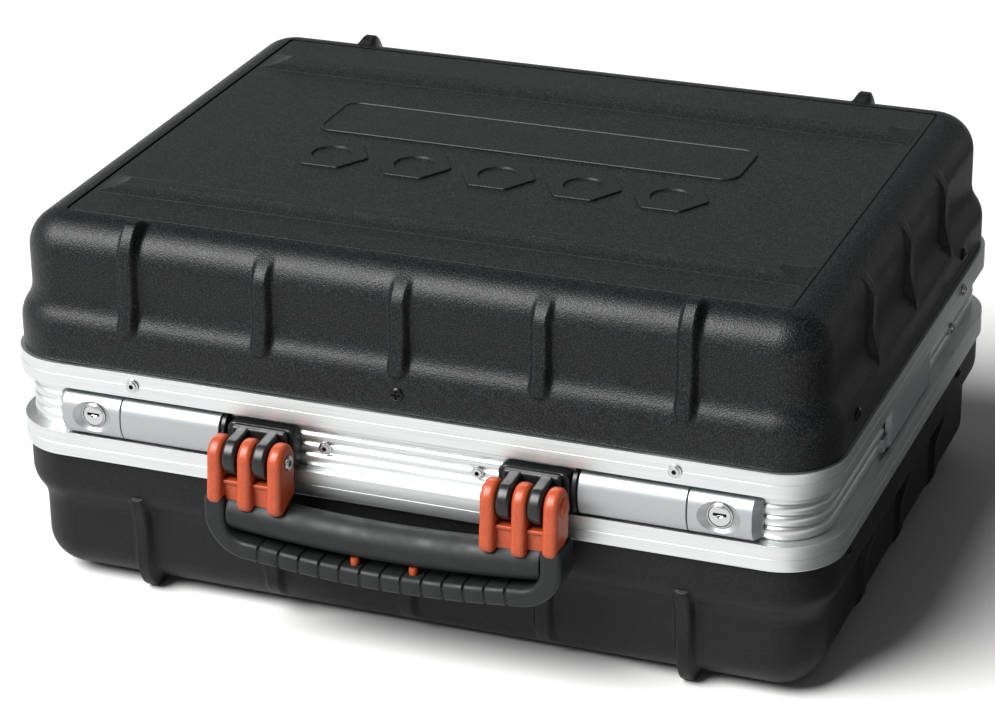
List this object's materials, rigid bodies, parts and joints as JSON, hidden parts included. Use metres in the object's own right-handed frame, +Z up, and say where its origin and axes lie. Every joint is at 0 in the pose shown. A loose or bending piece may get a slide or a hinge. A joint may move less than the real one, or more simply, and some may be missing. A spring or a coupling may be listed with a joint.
{
  "type": "tool case with socket wrench set",
  "caption": "Hard-shell tool case with aluminium frame, key-locked latches, folding carry handle and a socket wrench set in foam.",
  "frame": {"origin": "middle of the whole closed object's footprint, at the underside of the feet", "axes": "+X to the right seen from the front, +Y from the handle towards the hinges, +Z up"},
  "size_m": [0.4838, 0.4014, 0.2225],
  "materials": {
    "base_plastic": "moulded, coarse grain",
    "lid_plastic": "moulded, coarse grain, satin sheen",
    "panel_plastic": "moulded, fine grain",
    "aluminium": "brushed lengthwise",
    "satin_metal": "satin silver",
    "gloss_black": "gloss",
    "orange_plastic": "moulded, satin",
    "rubber": "soft matte",
    "steel": "bright",
    "chrome_tools": "satin chrome",
    "foam": "closed-cell foam"
  },
  "bodies": {
    "base": {"base_shell": "base_plastic", "base_frame": "aluminium", "base_seal": "rubber", "frame_joint_plate": "satin_metal", "handle_bracket_left": "gloss_black", "handle_bracket_right": "gloss_black", "lock_body_left": "satin_metal", "lock_body_right": "satin_metal", "lever_guard_left": "gloss_black", "lever_guard_right": "gloss_black", "latch_pin_left": "steel", "latch_pin_right": "steel", "hinge_leaf_base_left": "aluminium", "hinge_leaf_base_right": "aluminium", "hinge_pin_left": "steel", "hinge_pin_right": "steel", "frame_rivet_front_left": "steel", "frame_rivet_front_right": "steel", "base_stay_rivet_left": "steel", "base_stay_rivet_right": "steel", "handle_pin_left": "steel", "handle_pin_right": "steel", "tool_foam": "foam", "ratchet_body": "chrome_tools", "extension_bar": "chrome_tools", "socket_24mm": "chrome_tools", "socket_22mm": "chrome_tools", "socket_21mm": "chrome_tools", "socket_19mm": "chrome_tools", "socket_17mm": "chrome_tools", "socket_16mm": "chrome_tools", "socket_14mm": "chrome_tools", "socket_13mm": "chrome_tools"},
    "lid": {"lid_shell": "lid_plastic", "lid_panel": "panel_plastic", "lid_frame": "aluminium", "lid_pad": "foam", "hinge_leaf_lid_left": "aluminium", "hinge_leaf_lid_right": "aluminium", "lid_rivet_front_left": "steel", "lid_rivet_front_right": "steel", "lid_stay_rivet_left": "steel", "lid_stay_rivet_right": "steel"},
    "handle": {"handle_link_left": "orange_plastic", "handle_link_right": "orange_plastic", "handle_bar": "rubber", "handle_cushion": "rubber", "spacer_stud_left": "orange_plastic", "spacer_stud_right": "orange_plastic"},
    "latch_left": {"latch_lever_left": "satin_metal"},
    "key_left": {"key_cylinder_left": "steel"},
    "stay_lower_left": {"stay_arm_lower_left": "steel"},
    "stay_upper_left": {"stay_arm_upper_left": "steel"},
    "latch_right": {"latch_lever_right": "satin_metal"},
    "key_right": {"key_cylinder_right": "steel"},
    "stay_lower_right": {"stay_arm_lower_right": "steel"},
    "stay_upper_right": {"stay_arm_upper_right": "steel"},
    "anvil": {"ratchet_anvil": "chrome_tools"},
    "selector": {"ratchet_selector": "gloss_black"}
  },
  "joints": [
    {"name": "lid_hinge", "type": "hinge", "parent": "base", "child": "lid", "pos_m": [0, 0.19725, 0.125], "axis": [-1, 0, 0], "range_deg": [0, 95]},
    {"name": "handle_swing", "type": "hinge", "parent": "base", "child": "handle", "pos_m": [0, -0.18875, 0.1095], "axis": [-1, 0, 0], "range_deg": [0, 120]},
    {"name": "latch_lift_left", "type": "hinge", "parent": "base", "child": "latch_left", "pos_m": [0, -0.17125, 0.1006], "axis": [1, 0, 0], "range_deg": [0, 80]},
    {"name": "key_turn_left", "type": "hinge", "parent": "base", "child": "key_left", "pos_m": [-0.1815, -0.17625, 0.1115], "axis": [0, -1, 0], "range_deg": [0, 90]},
    {"name": "stay_lower_left_fold", "type": "hinge", "parent": "base", "child": "stay_lower_left", "pos_m": [-0.224, 0.10725, 0.108], "axis": [-1, 0, 0], "range_deg": [0, 93.5]},
    {"name": "stay_upper_left_fold", "type": "hinge", "parent": "lid", "child": "stay_upper_left", "pos_m": [-0.224, 0.10725, 0.133], "axis": [-1, 0, 0], "range_deg": [-98.6, 0]},
    {"name": "latch_lift_right", "type": "hinge", "parent": "base", "child": "latch_right", "pos_m": [0, -0.17125, 0.1006], "axis": [1, 0, 0], "range_deg": [0, 80]},
    {"name": "key_turn_right", "type": "hinge", "parent": "base", "child": "key_right", "pos_m": [0.1815, -0.17625, 0.1115], "axis": [0, -1, 0], "range_deg": [0, 90]},
    {"name": "stay_lower_right_fold", "type": "hinge", "parent": "base", "child": "stay_lower_right", "pos_m": [0.224, 0.10725, 0.108], "axis": [-1, 0, 0], "range_deg": [0, 93.5]},
    {"name": "stay_upper_right_fold", "type": "hinge", "parent": "lid", "child": "stay_upper_right", "pos_m": [0.224, 0.10725, 0.133], "axis": [-1, 0, 0], "range_deg": [-98.6, 0]},
    {"name": "anvil_spin", "type": "hinge", "parent": "base", "child": "anvil", "pos_m": [-0.12, 0.00975, 0.058], "axis": [0, 0, 1], "continuous": true},
    {"name": "selector_flick", "type": "hinge", "parent": "base", "child": "selector", "pos_m": [-0.12, 0.00975, 0.066], "axis": [0, 0, 1], "range_deg": [-20, 20]}
  ],
  "couplings": [
    {"joint": "stay_lower_left_fold", "follows": "lid_hinge", "ratio": 0.9818},
    {"joint": "stay_upper_left_fold", "follows": "lid_hinge", "ratio": -1.0353},
    {"joint": "stay_lower_right_fold", "follows": "lid_hinge", "ratio": 0.9818},
    {"joint": "stay_upper_right_fold", "follows": "lid_hinge", "ratio": -1.0353}
  ]
}
